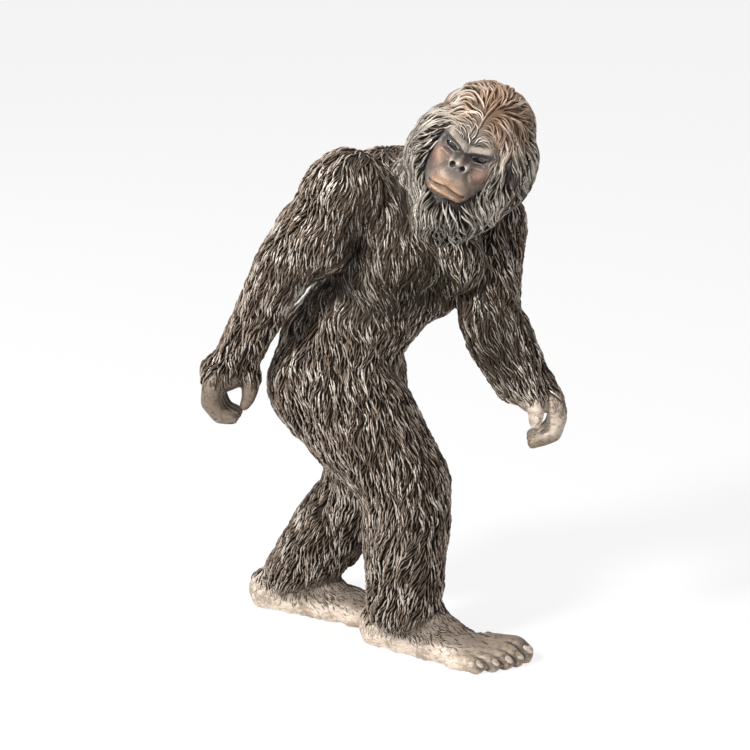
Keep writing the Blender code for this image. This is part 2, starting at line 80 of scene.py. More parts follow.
# Shell over the bare face: its grid, how far it reaches past the rim, how its edge rolls in, and its wall
FACE_STEP = 0.0008
FACE_ACROSS = (-0.050, 0.050)
FACE_UP = (-0.074, 0.036)
FACE_REACH = 1.06
FACE_ROLL = 0.026
FACE_DEEPEST = 0.044
FACE_PROUD = 0.0005
FACE_WALL = 0.0030

# Eyes: how far each is to the side and up, in millimetres, and the balls' radii in metres
EYE_SIDE = 19
EYE_LEVEL = -4
EYE_RADII = (0.0086, 0.0050, 0.0058)
EYE_DEPTH = 0.0006

# Bare hands: the middle of each from its wrist, and how far they reach around it
HAND_MIDDLE = {"right": (-0.012, 0, -0.045), "left": (0.016, 0, -0.045)}
HAND_REACH = (0.046, 0.055, 0.075)

# Each foot's reach from its ankle: behind and ahead of it, to each side, and up from the floor
FOOT_BACK = 0.070
FOOT_FRONT = 0.190
FOOT_HALF_WIDTH = 0.055
FOOT_HEIGHT = 0.080
FOOT_LENGTH = 0.140

# Where the roots of the fur end: above the sole, with a rise ahead of the shin, and below each wrist
FOOT_EDGE = 0.044
FOOT_EDGE_RISE = 0.8
HAND_EDGE = {"right": 0.014, "left": 0.004}

# How far under the solid's surface the fur's roots, the skin behind the face and the creases lie
FUR_DEPTH = 0.0016
UNDER_FACE = 0.0020
CREASE_DEPTH = 0.0018
CREASE_HALF_WIDTH = 0.0016

# Each toe from the big one: its place across the foot, its tip ahead of the ankle, and its radius
TOES = (
    (0.031, 0.166, 0.0145),
    (0.012, 0.163, 0.0105),
    (-0.004, 0.156, 0.0100),
    (-0.020, 0.146, 0.0096),
    (-0.035, 0.132, 0.0094),
)
TOE_LENGTH = 0.036
TOE_HEIGHT = 0.040

# Nails, as shares of the toe's radius: how far behind the tip, how high, half the width and half the length
NAIL_BACK = 0.50
NAIL_RISE = 1.30
NAIL_HALF_WIDTH = 0.56
NAIL_HALF_LENGTH = 0.62
NAIL_THICKNESS = 0.0024

# The leading hand's thumb from its wrist, with half the width and length of its nail
THUMB = (0.0175, -0.0375, -0.0440)
THUMB_NAIL = (0.0046, 0.0058)

# Where the fingers part on each hand, across it from the wrist, and how far under the wrist the knuckles are
FINGER_GAPS = {"right": (-0.012, 0.0, 0.012), "left": (-0.00875, 0.00375, 0.01625)}
KNUCKLE_DROP = 0.034

# Locks. Turn is how far one strays from the lie, and Patch how small the patches are that stray together.
LOCK_SIZES = ("Spacing", "Length", "Half Width", "Lift", "Sway", "Turn", "Patch", "Steps", "Seed")
BODY_LOCKS = dict(zip(LOCK_SIZES, (0.0038, 0.020, 0.0025, 0.0024, 0.0016, 1.7, 34.0, 5, 3)))
SHORT_HAIRS = dict(zip(LOCK_SIZES, (0.0030, 0.0085, 0.0011, 0.0007, 0.0008, 2.0, 60.0, 4, 9)))
MANE_LOCKS = dict(zip(LOCK_SIZES, (0.0043, 0.048, 0.0031, 0.0032, 0.0040, 2.4, 26.0, 13, 5)))

# Camera
VIEW_TARGET = (-0.0102, 0.0433, 0.329)
VIEW_RISE = 16
VIEW_DISTANCE = 5.0
VIEW_LENS = 192

# Lamps: place, what each is aimed at, width in metres and watts
LAMPS = {
    "key": ((-1.9, -2.0, 2.6), (0, 0, 0.4), 0.7, 165),
    "fill": ((1.8, -2.4, 0.9), (0, 0, 0.35), 1.8, 16),
    "top": ((0.2, 0.4, 2.8), (0, 0, 0.4), 1.2, 14),
    "back": ((-1.8, 1.8, 1.5), (0, 0, 0.4), 1.4, 16),
}
SKY_LIGHT = 0.24
WHITE = (1, 1, 1, 1)
FLOOR_RADIUS = 9
FLOOR_TONE = 0.9
FLOOR_GLOW = 0.85


def srgb(red, green, blue, last):
    """A colour read as 0 to 255 values, as linear light, and its last value."""
    values = [value / 255 for value in (red, green, blue)]
    linear = [v / 12.92 if v <= 0.04045 else ((v + 0.055) / 1.055) ** 2.4 for v in values]
    return (*linear, last)


# Paint, as seen in plain light. The last value tells how little the hollows darken, from 0 to 1.
BROWN = srgb(118, 101, 87, 0.0)
# Umber is painted shade: on the chest, by the leading elbow, on one side of the head's hair and around the eyes
SHADE_UMBER = srgb(62, 52, 40, 0.0)
# Pale brown is painted light, on the belly and a knee
LIT_PALE_BROWN = srgb(150, 134, 120, 0.0)
COPPER = srgb(184, 148, 120, 0.30)
SILVER_BROWN = srgb(128, 120, 111, 0.0)
FOREHEAD = srgb(204, 188, 172, 0.45)
OLIVE = srgb(98, 86, 62, 0.0)
TAN = srgb(220, 204, 187, 0.6)
TOE = srgb(182, 163, 143, 0.4)
FINGER = srgb(118, 103, 90, 0.1)
MUZZLE = srgb(150, 127, 107, 0.5)
LIP = srgb(196, 154, 122, 0.5)
ROSE = srgb(160, 122, 102, 0.5)
SLATE = srgb(84, 81, 79, 0.2)
EYE = srgb(34, 26, 20, 1.0)
SILVER = srgb(214, 205, 194, 1.0)
# The darkest tone is a stain in the hollows and gaps, and painted shadow in the body's spots
STAIN_AND_SHADE = srgb(24, 18, 12, 1.0)

# Where the body is painted darker or paler than the rest, as painted shadow and shade or painted light: middle,
# reach in metres, strength and tone
LIGHT_AND_SHADE_SPOTS = (
    # Painted shadows on the trunk by the trailing arm, under the beard, under the chest, and on the leading
    # forearm
    ((-0.030, -0.060, 0.528), (0.028, 0.100, 0.055), 1.00, STAIN_AND_SHADE),
    ((-0.064, -0.050, 0.474), (0.050, 0.100, 0.032), 1.00, STAIN_AND_SHADE),
    ((0.021, -0.060, 0.585), (0.018, 0.100, 0.050), 1.00, STAIN_AND_SHADE),
    ((0.004, -0.060, 0.447), (0.060, 0.100, 0.018), 0.90, STAIN_AND_SHADE),
    ((0.045, -0.070, 0.490), (0.040, 0.080, 0.040), 0.60, STAIN_AND_SHADE),
    ((0.140, -0.050, 0.400), (0.026, 0.100, 0.050), 0.90, STAIN_AND_SHADE),
    # Painted shade on the side of the head's hair away from the key lamp
    ((0.165, -0.045, 0.610), (0.020, 0.060, 0.050), 0.60, SHADE_UMBER),
    # Painted light on the belly and the front of a knee
    ((-0.023, -0.050, 0.382), (0.050, 0.060, 0.045), 0.60, LIT_PALE_BROWN),
    ((0.030, -0.075, 0.175), (0.040, 0.040, 0.040), 0.60, LIT_PALE_BROWN),
)


class Wire:
    """One output in a node tree. Sums on it add their Math nodes."""

    def __init__(self, bench, node, socket):
        self.bench = bench
        self.node = node
        self.socket = socket

    def beside(self, name):
        """Another output of the same node."""
        return Wire(self.bench, self.node, picked(self.node.outputs, name))

    def __add__(self, other):
        return self.bench.maths("ADD", self, other)

    __radd__ = __add__

    def __mul__(self, other):
        return self.bench.maths("MULTIPLY", self, other)

    __rmul__ = __mul__

    def __sub__(self, other):
        return self.bench.maths("SUBTRACT", self, other)

    def __rsub__(self, other):
        return self.bench.maths("SUBTRACT", other, self)

    def __truediv__(self, other):
        return self.bench.maths("DIVIDE", self, other)

    def __pow__(self, other):
        return self.bench.maths("POWER", self, other)


def picked(sockets, key):
    """The socket in use with this name, identifier or number."""
    if isinstance(key, int):
        return sockets[key]
    return next(s for s in sockets if s.enabled and key in (s.name, s.identifier))


class Bench:
    """Lays the nodes of one tree."""

    def __init__(self, tree):
        self.tree = tree
        tree.nodes.clear()

    def put(self, kind, settings=None, sockets=None, out=0):
        """Adds a node with its settings, then the values or wires of its sockets."""
        node = self.tree.nodes.new(kind)
        for name, value in (settings or {}).items():
            if name == "points":
                curve = node.mapping.curves[0].points
                while len(curve) < len(value):
                    curve.new(0.5, 0.5)
                for point, place in zip(curve, value):
                    point.location = place
                node.mapping.update()
            else:
                setattr(node, name, value)
        for key, value in (sockets or {}).items():
            socket = picked(node.inputs, key)
            if isinstance(value, Wire):
                self.tree.links.new(value.socket, socket)
            else:
                socket.default_value = value
        return Wire(self, node, picked(node.outputs, out) if len(node.outputs) else None)

    def maths(self, operation, *values):
        return self.put("ShaderNodeMath", {"operation": operation}, dict(enumerate(values)))

    def vector(self, operation, *values):
        return self.put("ShaderNodeVectorMath", {"operation": operation}, dict(enumerate(values)))

    def scaled(self, vector, factor):
        return self.put("ShaderNodeVectorMath", {"operation": "SCALE"}, {"Vector": vector, "Scale": factor})

    def blend(self, factor, a, b, how="MIX"):
        settings = {"data_type": "RGBA", "blend_type": how}
        return self.put("ShaderNodeMix", settings, {"Factor": factor, "A": a, "B": b}, "Result")

    def between(self, value, low, high):
        """0 below low, 1 above high, smooth between them."""
        sockets = {"Value": value, "From Min": low, "From Max": high}
        return self.put("ShaderNodeMapRange", {"interpolation_type": "SMOOTHSTEP"}, sockets, "Result")


# Shape of the head and the lie of the fur


def turned(degrees):
    """The level direction at an angle from +X towards +Y."""
    return np.array((math.cos(math.radians(degrees)), math.sin(math.radians(degrees)), 0.0))


def head_matrix():
    """The head's own frame, between the eyes: +X to its left cheek, -Y out of the face, +Z to the crown."""
    nod = Euler((math.radians(HEAD_NOD), math.radians(HEAD_ROLL), 0)).to_matrix()
    turn = Euler((0, 0, math.radians(HEAD_TURN))).to_matrix() @ nod
    return Matrix.Translation(Vector(JOINT["eyes"])) @ turn.to_4x4()


HEAD = head_matrix()
HEAD_AXES = np.array(HEAD.to_3x3())


def in_head(points):
    """Points of the world in the head's own frame."""
    return (points - JOINT["eyes"]) @ HEAD_AXES


def out_of_head(points):
    """Points of the head's own frame in the world."""
    return points @ HEAD_AXES.T + JOINT["eyes"]


def hill(s, u, at_s, at_u, wide, tall):
    """A soft round rise of height one."""
    return np.exp(-(((s - at_s) / wide) ** 2) - ((u - at_u) / tall) ** 2)


def ridge(s, u, start, end, wide):
    """A soft ridge of height one along a straight line."""
    along = np.array(end, float) - np.array(start, float)
    share = ((s - start[0]) * along[0] + (u - start[1]) * along[1]) / along.dot(along)
    share = np.clip(share, 0, 1)
    gap = np.hypot(s - start[0] - share * along[0], u - start[1] - share * along[1])
    return np.exp(-((gap / wide) ** 2))


def face_depth(s, u):
    """How far the face stands out in front of the eyes, all in millimetres: s across, u up."""
    # Skull and muzzle
    depth = -(s**2) / 150 - 0.33 * np.maximum(u - 9, 0)
    depth += 21 * np.exp(-((s / 30) ** 4) - ((u + 42) / 24) ** 4)
    # Nose, and the knot between the brows
    depth += 8 * ridge(s, u, (0, 2), (0, -11), 4.5) + 9 * hill(s, u, 0, -14, 7, 6)
    depth += 3 * hill(s, u, 0, 8, 7, 6)
    # Lips, the fold under them and the mouth
    depth += 2.5 * hill(s, u, 0, -38, 18, 7)
    depth += 3.5 * ridge(s, u, (-16, -54), (16, -54), 3.2) - 3 * ridge(s, u, (-15, -61), (15, -61), 2.6)
    depth -= 5 * ridge(np.abs(s), u, (0, -46), (22.5, -51), 1.9)
    for side in (-1, 1):
        t = s * side
        # Brow, eye socket, eyeball and lids
        depth += 9 * ridge(t, u, (5, 4), (27, 12), 5)
        depth += 6 * hill(t, u, 19, -4, 6.2, 4.4) - 10 * hill(t, u, 19, -4, 11, 7)
        depth += 2.4 * ridge(t, u, (10, -3), (27, 1), 1.7) + 1.8 * ridge(t, u, (12, -9), (27, -8), 1.7)
        # Bag under the eye and cheek
        depth += 2 * ridge(t, u, (13, -14), (27, -12), 2.6) + 4.5 * hill(t, u, 31, -18, 9, 11)
        # Wing of the nose and nostril
        depth += 7 * hill(t, u, 9.5, -15, 4.6, 5) - 9 * hill(t, u, 6.9, -18, 2.8, 2.8)
        # Folds beside the muzzle and between the brows
        depth -= 2.5 * ridge(t, u, (14, -21), (28, -43), 2.2)
        depth -= 1.6 * ridge(t, u, (2.4, 3), (4.5, 16), 1.3)
    return depth


def almond(t, u):
    """1 on the edge of the eye's slanted opening, less inside it."""
    return np.hypot((t - EYE_SIDE) / 7.6, (u - EYE_LEVEL - 0.10 * (t - EYE_SIDE)) / 3.3)


def fine_face(s, u):
    """Carving too fine for the solid: brow furrows, lid edges, crow's feet, lip and cheek lines."""
    # Lip seam, crease above the nose and tip of the nose
    depth = 0.9 * hill(s, u, 0, -46, 14, 2) - 0.8 * ridge(s, u, (-6, 15), (6, 15), 0.9)
    depth += 2.2 * hill(s, u, 0, -13, 5.0, 4.2)
    for side in (-1, 1):
        t = s * side
        # Eye opening with its lid edge, and the nostril in its ring
        lid = almond(t, u)
        depth -= 3.2 * step_between(1.12 - lid, 0.0, 0.22)
        depth += 1.5 * np.exp(-(((lid - 1.22) / 0.16) ** 2))
        depth += 1.8 * hill(t, u, 10.6, -16, 3.2, 4.2) - 3.6 * hill(t, u, 6.6, -18.4, 2.7, 2.2)
        rim_gap = np.hypot((t - 6.6) / 1.2, u + 18.4)
        depth += 1.1 * np.exp(-(((rim_gap - 4.2) / 1.1) ** 2))
        # Strokes of the brow and creases of the cheek
        for n in range(9):
            depth -= 0.55 * ridge(t, u, (6 + 2.5 * n, 6.5 + 0.6 * n), (7.5 + 2.8 * n, 13 + 0.7 * n), 0.65)
            depth -= 0.35 * ridge(t, u, (27 + 0.8 * n, -24 - 2 * n), (33, -22 - 2.4 * n), 0.6)
        # Wrinkles above the brow, under the eye, at its corner and across the bridge of the nose
        depth -= 0.7 * ridge(t, u, (6, 13), (20, 21), 0.9)
        depth -= 1.3 * ridge(t, u, (13, -11), (27, -9.5), 0.8)
        depth -= 1.2 * ridge(t, u, (15, -15.5), (28, -14), 0.9)
        depth -= 0.7 * (ridge(t, u, (28, 0), (35, 4), 0.8) + ridge(t, u, (29, -4), (36, -4), 0.8))
        depth -= ridge(t, u, (3, -1), (9, 3), 0.8) + 0.9 * ridge(t, u, (2, -5), (8, -4), 0.8)
        # Lines of the lips
        for n in range(5):
            depth -= 0.35 * ridge(t, u, (2 + 4.2 * n, -41), (2.5 + 4.6 * n, -45), 0.6)
            depth -= 0.35 * ridge(t, u, (2 + 3.4 * n, -50), (2 + 3.2 * n, -55), 0.6)
    return depth


def shield(s, u):
    """0 at the middle of the bare face, 1 on its rim."""
    return np.hypot(s / FACE_HALF_WIDTH, (u - FACE_MIDDLE) / FACE_HALF_HEIGHT)


def rim(s, u):
    """The shield with its top cut off above the brows, where the forehead's hair begins."""
    return np.maximum(shield(s, u), 1 + (u - BROW_TOP - BROW_SLOPE * np.abs(s)) / 0.03)


def away(points, middle, reach):
    """How far each point lies from the middle, as a share of the reach."""
    return np.linalg.norm((points - middle) / reach, axis=1)


def unit(vectors):
    """The same directions, one long."""
    return vectors / (np.linalg.norm(vectors, axis=-1, keepdims=True) + 1e-9)


def flow_lines():
    """The lie of the fur: (region, start, end, reach, direction) for each part of the body."""
    down = np.array((0.0, 0.0, -1.0))
    shin_sweep = np.array((-0.55, 0.1, -1.0))
    thigh_sweep = np.array((-0.5, 0.0, -0.8))
    lines = []
    for side in SIDES:
        shoulder, elbow, wrist = (JOINT[side + name] for name in ("_shoulder", "_elbow", "_wrist"))
        hip, knee, ankle = (JOINT[side + name] for name in ("_hip", "_knee", "_ankle"))
        lines.append(("arms", shoulder, elbow, 0.040, unit(elbow - shoulder) + down * 0.3))
        lines.append(("arms", elbow, wrist, 0.032, unit(wrist - elbow) + down * 0.2))
        lines.append(("arms", wrist, wrist + down * 0.06, 0.025, down))
        high = hip + (knee - hip) * 0.3
        lines.append(("thighs", high, knee, 0.050, unit(knee - hip) + thigh_sweep))
        lines.append(("shins", knee, ankle, 0.040, shin_sweep))
    for side in SIDES:
        ahead = turned(FOOT_TURN[side])
        heel = JOINT[side + "_ankle"] * (1, 1, 0) + (0, 0, 0.012) + ahead * 0.045
        lines.append(("feet", heel, heel + ahead * 0.080, 0.030, ahead + down * 0.35))
    lines.append(("trunk", JOINT["pelvis"], JOINT["chest"], 0.070, np.array((-0.15, 0.0, -1.0))))
    lines.append(("trunk", JOINT["chest"], JOINT["neck"], 0.070, np.array((0.10, 0.0, -1.0))))
    return lines


def fur_flow(points):
    """The direction in which the fur lies at each point of the body, and the region that the point is in."""
    total = np.zeros_like(points)
    best = np.zeros(len(points))
    region = np.full(len(points), "trunk", dtype=object)
    for name, start, end, reach, direction in flow_lines():
        line = end - start
        share = np.clip((points - start) @ line / line.dot(line), 0, 1)
        gap = np.linalg.norm(points - start - share[:, None] * line, axis=1) / reach
        pull = 1 / (0.05 + gap**4)
        total += unit(direction) * pull[:, None]
        region[pull > best] = name
        best = np.maximum(best, pull)
    return total, region


def mane_flow(points):
    """Head hair parts along the crown, sweeps back and out, and hangs; the beard falls straight."""
    local = in_head(points)
    across = np.abs(local[:, 0])
    out = np.tanh(local[:, 0] / 0.013) * (1 - 0.7 * step_between(local[:, 2], 0.045, 0.062))
    high = np.clip(local[:, 2] / 0.070, 0, 1)
    front = np.clip((0.020 - local[:, 1]) / 0.030, 0, 1) * np.clip((local[:, 2] + 0.005) / 0.02, 0, 1)
    fall = (0.25 + 0.75 * (1 - high)) * (1 - front * np.clip(1.3 - across / 0.035, 0, 0.9))
    along_part = (1 - np.abs(out)) * np.clip((local[:, 2] + 0.005) / 0.015, 0, 1)
    sweep = np.stack([out * (0.45 + 0.55 * high), 0.15 + 0.55 * high + along_part, along_part - fall], axis=1)
    behind = step_between(local[:, 1], 0.035, 0.085)[:, None]
    hanging = np.stack([0.35 * out, np.zeros(len(out)), np.full(len(out), -1.0)], axis=1)
    sweep = sweep * (1 - behind) + hanging * behind
    low = np.clip((-0.030 - local[:, 2]) / 0.050, 0, 1)[:, None]
    return sweep @ HEAD_AXES.T * (1 - low) + np.array((0, 0.05, -1.0)) * low


def on_head(points):
    """True on the head's hair and beard."""
    local = in_head(points)
    low = step_between(-local[:, 2], 0.010, 0.075)
    reach = np.stack([0.088 - 0.022 * low, 0.085 - 0.010 * low, np.full(len(points), 0.112)], axis=1)
    gap = away(local, (0.0, 0.045, -0.015), reach)
    beard = away(points, JOINT["eyes"] + (-0.012, 0.004, -0.062), 0.052)
    return np.minimum(gap, beard) < 1


def step_between(values, low, high):
    """0 below low, 1 above high, smooth between them."""
    share = np.clip((values - low) / (high - low), 0, 1)
    return share * share * (3 - 2 * share)


def on_face(points, inside, outside):
    """1 on the bare face, 0 off it, between the two given shares of its rim."""
    local = in_head(points)
    return step_between(-rim(local[:, 0], local[:, 2]), -outside, -inside) * (local[:, 1] < FACE_BACK)


def bare_places(points):
    """How bare the skin is on the face, the feet and the hands, each from 0 to 1."""
    face = on_face(points, 0.90, 0.98)
    foot = np.zeros(len(points))
    hand = np.zeros(len(points))
    nearest = np.full(len(points), 1.0)
    for side in SIDES:
        ankle, knee, wrist = (JOINT[side + name] for name in ("_ankle", "_knee", "_wrist"))
        rise = np.clip((points[:, 2] - ankle[2]) / (knee[2] - ankle[2]), 0, 1)
        shin = ankle + (knee - ankle) * rise[:, None]
        ahead = (points - shin) @ turned(FOOT_TURN[side])
        line = turned(FOOT_TURN[side]) * FOOT_LENGTH
        flat = (points - ankle) * (1, 1, 0)
        share = np.clip(flat @ line / line.dot(line), 0, 1)
        gap = np.linalg.norm(flat - share[:, None] * line, axis=1) + (points[:, 2] > 0.1)
        edge = FOOT_EDGE + FOOT_EDGE_RISE * np.maximum(ahead - 0.020, 0)
        foot = np.where(gap < nearest, step_between(edge - points[:, 2], -0.002, 0.003), foot)
        nearest = np.minimum(gap, nearest)
        close = away(points, wrist + HAND_MIDDLE[side], HAND_REACH) < 1
        hand = np.maximum(hand, step_between(wrist[2] - HAND_EDGE[side] - points[:, 2], 0, 0.012) * close)
    return face, foot, hand


def foot_axes(side):
    """The level directions in which a foot points and in which the other foot lies."""
    ahead = turned(FOOT_TURN[side])
    return ahead, np.array((-ahead[1], ahead[0], 0)) * {"right": 1, "left": -1}[side]


def on_foot(points, side):
    """How far ahead of the ankle and how far inward each point lies, and whether it is on this foot."""
    ahead, inward = foot_axes(side)
    flat = (points - JOINT[side + "_ankle"]) * (1, 1, 0)
    forward, across = flat @ ahead, flat @ inward
    mine = (np.abs(across) < FOOT_HALF_WIDTH) * (points[:, 2] < FOOT_HEIGHT)
    mine = mine * (forward > -FOOT_BACK) * (forward < FOOT_FRONT)
    return forward, across, mine


def downy(points):
    """Where short hair grows on bare skin: thick on the hands, thinning out over the instep."""
    _, foot, hand = bare_places(points)
    wisps = np.zeros(len(points))
    for side in SIDES:
        forward, across, mine = on_foot(points, side)
        top = step_between(points[:, 2], 0.012, 0.030)
        wisps = np.maximum(wisps, top * step_between(-forward, -0.120, -0.045) * mine)
    thumb = away(points, JOINT["left_wrist"] + (0.012, -0.030, -0.040), 0.030)
    knuckles = np.where(points[:, 0] > 0, JOINT["left_wrist"][2], JOINT["right_wrist"][2]) - KNUCKLE_DROP
    backs = hand * (1 - np.exp(-(thumb**4))) * step_between(points[:, 2] - knuckles, -0.006, 0.010)
    return 0.9 * backs + 0.8 * foot * wisps


# Meshes


def linked(name, mesh):
    obj = bpy.data.objects.new(name, mesh)
    bpy.context.scene.collection.objects.link(obj)
    return obj


def made(name, shape):
    """A new object from a finished bmesh."""
    mesh = bpy.data.meshes.new(name)
    shape.to_mesh(mesh)
    shape.free()
    return linked(name, mesh)


def coated(obj, finish):
    """The object, smooth and with its finish."""
    obj.data.materials.append(finish)
    obj.data.shade_smooth()
    return obj


def settled(obj):
    """The object with its modifiers made permanent."""
    graph = bpy.context.evaluated_depsgraph_get()
    mesh = bpy.data.meshes.new_from_object(obj.evaluated_get(graph))
    obj.modifiers.clear()
    obj.data = mesh
    return obj


def corners(mesh, value="co"):
    """Where the mesh's corners are or, by its name, another value of theirs."""
    values = np.empty(len(mesh.vertices) * 3)
    mesh.vertices.foreach_get(value, values)
    return values.reshape(-1, 3)


def keep(mesh, name, kind, values):
    """A value for each corner of the mesh, under a name."""
    field = {"FLOAT": "value", "FLOAT_VECTOR": "vector", "FLOAT_COLOR": "color"}[kind]
    if name in mesh.attributes:
        mesh.attributes.remove(mesh.attributes[name])
    layer = mesh.attributes.new(name, kind, "POINT")
    layer.data.foreach_set(field, np.asarray(values, float).ravel())


def nail_places():
    """Each nail: its middle, the way it faces, the way it points, and half its width and length."""
    places = []
    for side in SIDES:
        ahead, inward = (Vector(axis) for axis in foot_axes(side))
        for sideways, tip, radius in TOES:
            middle = Vector(JOINT[side + "_ankle"]) + ahead * (tip - radius * NAIL_BACK) + inward * sideways
            middle.z = radius * NAIL_RISE
            up = (Vector((0, 0, 0.75)) + ahead * 0.66).normalized()
            places.append((middle, up, ahead, radius * NAIL_HALF_WIDTH, radius * NAIL_HALF_LENGTH))
    # The thumb's nail lies on the solid's own surface, so that it seats there
    thumb = JOINT["left_wrist"] + THUMB
    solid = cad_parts["bigfoot_statue"].data
    nearest = away(corners(solid), thumb, 1).argmin()
    out = corners(solid, "normal")[nearest]
    thumb = thumb - out * ((thumb - corners(solid)[nearest]) @ out)
    places.append((Vector(thumb), Vector(out), Vector((0, 0, -1)), *THUMB_NAIL))
    return places


def crease(across):
    """1 in the middle of a crease, 0 away from it."""
    return np.exp(-((across / CREASE_HALF_WIDTH) ** 2))


def toe_gaps(points):
    """1 in the gaps between the toes, 0 elsewhere."""
    gap = np.zeros(len(points))
    for side in SIDES:
        forward, across, mine = on_foot(points, side)
        for (a, tip_a, radius_a), (b, tip_b, radius_b) in zip(TOES, TOES[1:]):
            split = (a - radius_a + b + radius_b) / 2
            start = (tip_a + tip_b) / 2 - TOE_LENGTH
            reach = step_between(forward, start, start + 0.010) * mine * (points[:, 2] < TOE_HEIGHT)
            gap = np.maximum(gap, crease(across - split) * reach)
    return gap


def finger_gaps(points):
    """1 in the gaps between the fingers, 0 elsewhere."""
    _, _, hand = bare_places(points)
    gap = np.zeros(len(points))
    for side in SIDES:
        local = points - JOINT[side + "_wrist"]
        fingers = step_between(-local[:, 2], 0.030, 0.042)
        fingers *= (np.abs(local[:, 0]) < 0.08) * (np.abs(local[:, 1]) < 0.05)
        for place in FINGER_GAPS[side]:
            gap = np.maximum(gap, crease(local[:, 1] - place) * fingers)
    return gap * hand


def lay(colour, share, tone):
    """Lays a tone over the paint, as thick as its share."""
    colour[:] = colour * (1 - share[:, None]) + np.array(tone) * share[:, None]


def body_paint(points):
    """The middle tone of the paint at each point, with painted shade and painted light laid in."""
    _, foot, hand = bare_places(points)
    local = in_head(points)
    colour = np.tile(BROWN, (len(points), 1))

    # Olive tint on the chest, darkened as painted shadow from the head
    chest = np.exp(-(away(points, JOINT["chest"] + (0.02, -0.07, 0.0), (0.06, 0.06, 0.05)) ** 2))
    lay(colour, 0.6 * chest, OLIVE)
    lay(colour, 0.8 * chest, SHADE_UMBER)
    # Painted shade on the leading arm around its elbow
    elbow = away(points, JOINT["left_elbow"] + (0.0, -0.02, -0.03), (0.06, 0.08, 0.07))
    lay(colour, 0.95 * np.exp(-(elbow**2)), SHADE_UMBER)
    hairy = on_head(points).astype(float)
    lay(colour, hairy, SILVER_BROWN)
    for middle, reach, strength, tone in LIGHT_AND_SHADE_SPOTS:
        lay(colour, strength * np.exp(-(away(points, middle, reach) ** 2)), tone)
    front = step_between(-local[:, 1], -0.040, 0.0)
    lay(colour, hairy * front * step_between(local[:, 2], 0.0, 0.025) * (np.abs(local[:, 0]) < 0.050), FOREHEAD)
    crown = step_between(local[:, 2], 0.016, 0.045) * np.exp(-(((local[:, 0] - 0.006) / 0.034) ** 2))
    lay(colour, hairy * crown, COPPER)
    lay(colour, foot, TAN)
    for side in SIDES:
        forward, across, mine = on_foot(points, side)
        lay(colour, foot * step_between(forward, 0.085, 0.125) * mine, TOE)
        instep = step_between(points[:, 2], 0.014, 0.030) * step_between(forward, -0.04, 0.02)
        lay(colour, 0.9 * foot * instep * mine, FINGER)
    for middle, _, _, _, half_long in nail_places():
        lay(colour, 0.8 * np.exp(-(away(points, np.array(middle), half_long * 1.5) ** 4)), STAIN_AND_SHADE)
    lay(colour, 0.9 * foot * toe_gaps(points), STAIN_AND_SHADE)
    lay(colour, hand, FINGER)
    lay(colour, hand * np.exp(-(away(points, JOINT["left_wrist"] + (0.015, -0.025, -0.045), 0.045) ** 2)), TAN)
    # The leading hand's fingertips: an olive tint, darkened as painted shade
    olive_shaded_tips = (points[:, 0] > 0.1) * step_between(JOINT["left_wrist"][2] - 0.060 - points[:, 2], 0.0, 0.014)
    lay(colour, 0.75 * hand * olive_shaded_tips, OLIVE)
    lay(colour, 0.9 * finger_gaps(points), STAIN_AND_SHADE)
    return colour


def refine_bare(mesh):
    """Halves the edges of the bare hands and feet, for their creases."""
    shape = bmesh.new()
    shape.from_mesh(mesh)
    _, foot, hand = bare_places(corners(mesh))
    bare = np.maximum(foot, hand) > 0.01
    edges = [e for e in shape.edges if bare[e.verts[0].index] and bare[e.verts[1].index]]
    bmesh.ops.subdivide_edges(shape, edges=edges, cuts=1, use_grid_fill=True, smooth=0.6)
    bmesh.ops.triangulate(shape, faces=[f for f in shape.faces if len(f.verts) > 4])
    shape.to_mesh(mesh)
    shape.free()


def make_skin():
    """The statue's surface, rounded once, with the lie of the fur and the paint kept on it."""
    shape = bmesh.new()
    shape.from_mesh(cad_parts["bigfoot_statue"].data)
    bmesh.ops.remove_doubles(shape, verts=shape.verts, dist=1e-6)
    skin = made("skin", shape)
    rounding = skin.modifiers.new("rounding", "SUBSURF")
    rounding.levels = rounding.render_levels = 1
    settled(skin)
    mesh = skin.data
    refine_bare(mesh)
    points = corners(mesh)
    face, foot, hand = bare_places(points)
    furry = (1 - np.maximum(foot, hand)) * (1 - face)
    gaps = np.maximum(toe_gaps(points), finger_gaps(points))
    sunk = on_face(points, 0.9, 1.0) * UNDER_FACE + furry * FUR_DEPTH + gaps * CREASE_DEPTH
    points -= corners(mesh, "normal") * sunk[:, None]
    points[:, 2] = np.maximum(points[:, 2], 0.0)
    mesh.vertices.foreach_set("co", points.ravel())
    mesh.update()
    flow, region = fur_flow(points)
    hairy = on_head(points)
    flow = np.where(hairy[:, None], mane_flow(points), flow)
    out = corners(mesh, "normal")
    flow -= out * np.sum(flow * out, axis=1)[:, None]
    keep(mesh, "lie", "FLOAT_VECTOR", unit(flow))
    keep(mesh, "paint", "FLOAT_COLOR", body_paint(points))
    keep(mesh, "bare", "FLOAT", np.maximum(foot, hand))
    mesh.shade_smooth()
    return skin, region, hairy


